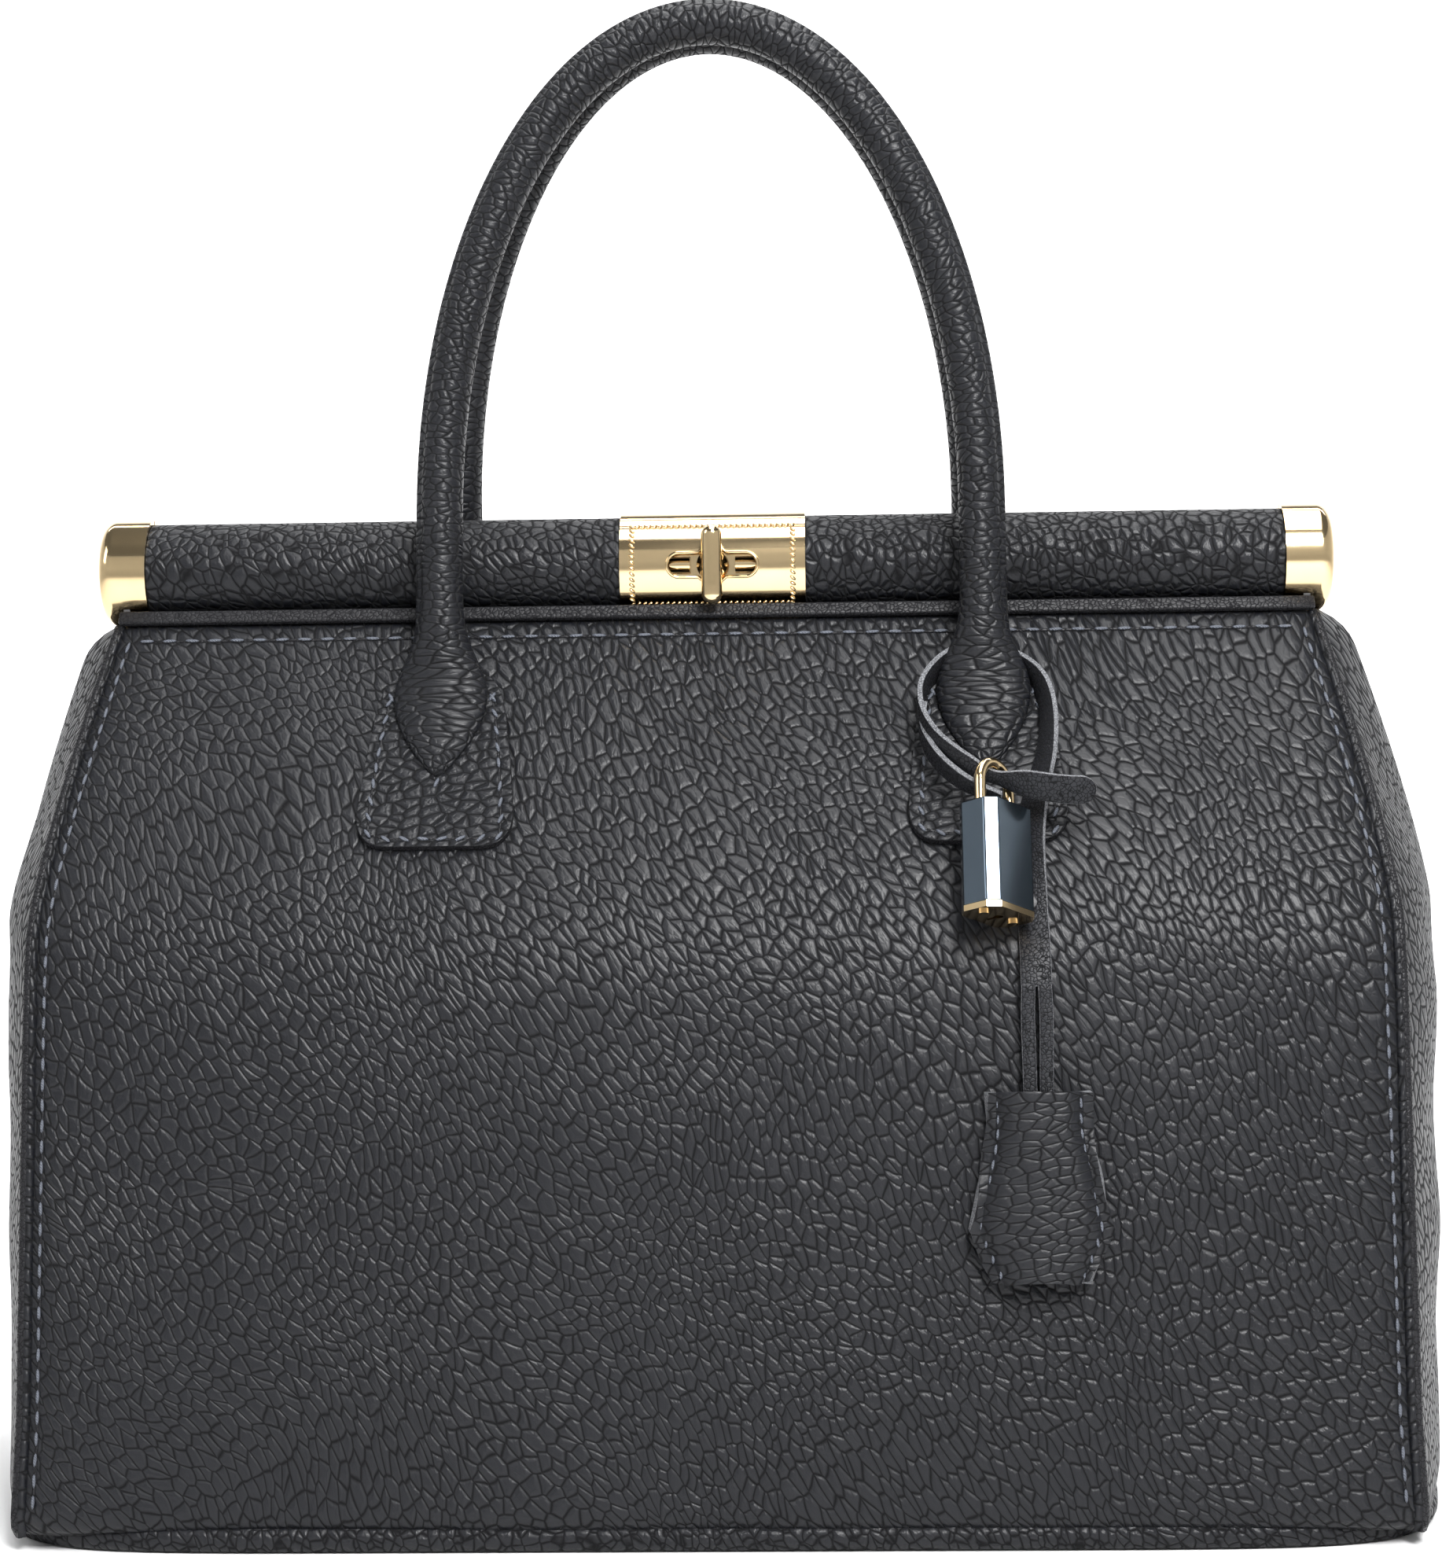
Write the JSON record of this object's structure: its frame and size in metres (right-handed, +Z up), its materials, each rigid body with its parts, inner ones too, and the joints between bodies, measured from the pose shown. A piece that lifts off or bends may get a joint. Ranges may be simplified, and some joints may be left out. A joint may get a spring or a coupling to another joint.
{
  "type": "doctor bag",
  "caption": "Rigid-framed leather doctor bag with two rolled handles, hinged tubular frame, turn lock, padlock and key bell.",
  "frame": {"origin": "centre of the underside of the base", "axes": "X along the bag, -Y to the front with the turn lock, +Z up"},
  "size_m": [0.35, 0.159, 0.3592],
  "materials": {
    "black_leather": "pebbled grain, semi-matt",
    "lining_fabric": "twill",
    "gold": "polished",
    "steel": "brushed",
    "key_steel": "polished",
    "dark_chrome": "polished, dark",
    "board": "pressed fibreboard",
    "zip_tape": "woven",
    "cord_core": "twisted cotton"
  },
  "bodies": {
    "bag_body": {"base_panel": "black_leather", "base_board": "board", "base_welt": "black_leather", "front_lower_panel": "black_leather", "rear_lower_panel": "black_leather", "left_gusset": "black_leather", "right_gusset": "black_leather", "left_gusset_board": "board", "right_gusset_board": "board", "left_hinge_pin": "steel", "right_hinge_pin": "steel", "lining": "lining_fabric", "inner_pocket": "lining_fabric", "pocket_zip": "zip_tape"},
    "zip_slider": {"zip_slider": "gold"},
    "front_frame": {"front_frame_channel": "steel", "front_frame_cover": "black_leather", "front_left_cap": "gold", "front_right_cap": "gold", "front_lock_plate": "gold", "lock_case": "gold", "front_upper_panel": "black_leather", "front_lip": "black_leather", "front_left_patch": "black_leather", "front_right_patch": "black_leather", "front_handle_sockets": "black_leather", "front_left_wing": "black_leather", "front_right_wing": "black_leather"},
    "rear_frame": {"rear_frame_channel": "steel", "rear_frame_cover": "black_leather", "rear_left_cap": "gold", "rear_right_cap": "gold", "rear_lock_plate": "gold", "rear_upper_panel": "black_leather", "rear_lip": "black_leather", "rear_left_patch": "black_leather", "rear_right_patch": "black_leather", "rear_handle_sockets": "black_leather", "rear_left_wing": "black_leather", "rear_right_wing": "black_leather"},
    "turn_knob": {"turn_knob": "gold", "knob_spindle": "gold"},
    "front_handle": {"front_handle": "black_leather", "front_handle_core": "cord_core"},
    "rear_handle": {"rear_handle": "black_leather", "rear_handle_core": "cord_core"},
    "charm": {"charm_loop": "black_leather", "charm_strap": "black_leather", "charm_tail": "black_leather", "key_ring": "gold", "keys": "key_steel"},
    "key_bell": {"bell_front": "black_leather", "bell_back": "black_leather"},
    "shackle": {"shackle": "gold"},
    "padlock": {"padlock_body": "dark_chrome", "padlock_plate": "gold", "padlock_rivets": "gold"}
  },
  "joints": [
    {"name": "front_frame_swing", "type": "hinge", "parent": "bag_body", "child": "front_frame", "pos_m": [0, 0, 0.145], "axis": [1, 0, 0], "range_deg": [0, 50]},
    {"name": "rear_frame_swing", "type": "hinge", "parent": "bag_body", "child": "rear_frame", "pos_m": [0, 0, 0.145], "axis": [-1, 0, 0], "range_deg": [0, 50]},
    {"name": "turn_knob_turn", "type": "hinge", "parent": "front_frame", "child": "turn_knob", "pos_m": [0, -0.0155, 0.223], "axis": [0, -1, 0], "range_deg": [0, 90]},
    {"name": "front_handle_tilt", "type": "hinge", "parent": "front_frame", "child": "front_handle", "pos_m": [0, -0.0255, 0.204], "axis": [1, 0, 0], "range_deg": [0, 65]},
    {"name": "rear_handle_tilt", "type": "hinge", "parent": "rear_frame", "child": "rear_handle", "pos_m": [0, 0.0255, 0.204], "axis": [-1, 0, 0], "range_deg": [0, 65]},
    {"name": "charm_hang", "type": "hinge", "parent": "front_frame", "child": "charm", "pos_m": [0.0645, -0.0193, 0.2012], "axis": [1, 0, 0], "range_deg": [-50, 0]},
    {"name": "key_bell_slide", "type": "slide", "parent": "charm", "child": "key_bell", "axis": [0, 0.1563, 0.9877], "range_m": [0, 0.024]},
    {"name": "shackle_swing", "type": "hinge", "parent": "charm", "child": "shackle", "pos_m": [0.0655, -0.052, 0.172], "axis": [-1, 0, 0], "range_deg": [0, 35]},
    {"name": "padlock_drop", "type": "slide", "parent": "shackle", "child": "padlock", "axis": [0, -0.3746, -0.9272], "range_m": [0, 0.004]},
    {"name": "zip_slide", "type": "slide", "parent": "bag_body", "child": "zip_slider", "axis": [1, 0, 0], "range_m": [0, 0.12]}
  ],
  "couplings": [
    {"joint": "charm_hang", "follows": "front_frame_swing", "ratio": -1}
  ]
}
